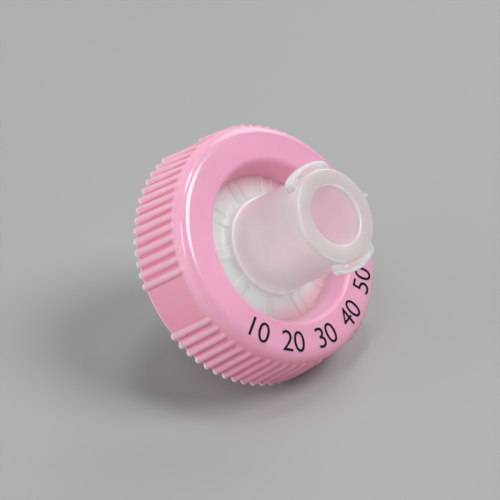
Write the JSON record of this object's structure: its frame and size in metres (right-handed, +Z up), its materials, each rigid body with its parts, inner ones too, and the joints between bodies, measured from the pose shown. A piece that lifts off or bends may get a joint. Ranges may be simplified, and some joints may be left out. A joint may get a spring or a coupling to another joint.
{
  "type": "syringe filter",
  "caption": "Round syringe filter with a pink ribbed grip ring, a translucent female luer lock inlet and a male luer slip outlet, lying tilted on its ring and nozzle.",
  "frame": {"origin": "on the surface the filter lies on, below the centre of its bounding box", "axes": "+Z up; the flow axis lies in the YZ plane and its inlet end points to -Y and up at about 40 degrees, with the outlet nozzle's tip on the surface at +Y; +X to the right when the inlet faces the viewer"},
  "size_m": [0.0186, 0.0184, 0.0168],
  "materials": {
    "pink_polypropylene": "satin moulded, slightly glossy",
    "clear_polypropylene": "milky translucent, smooth moulded",
    "membrane_disc": "matt white porous film"
  },
  "bodies": {
    "root": {"grip_ring": "pink_polypropylene", "inlet_housing": "clear_polypropylene", "outlet_housing": "clear_polypropylene", "membrane": "membrane_disc"}
  },
  "joints": []
}
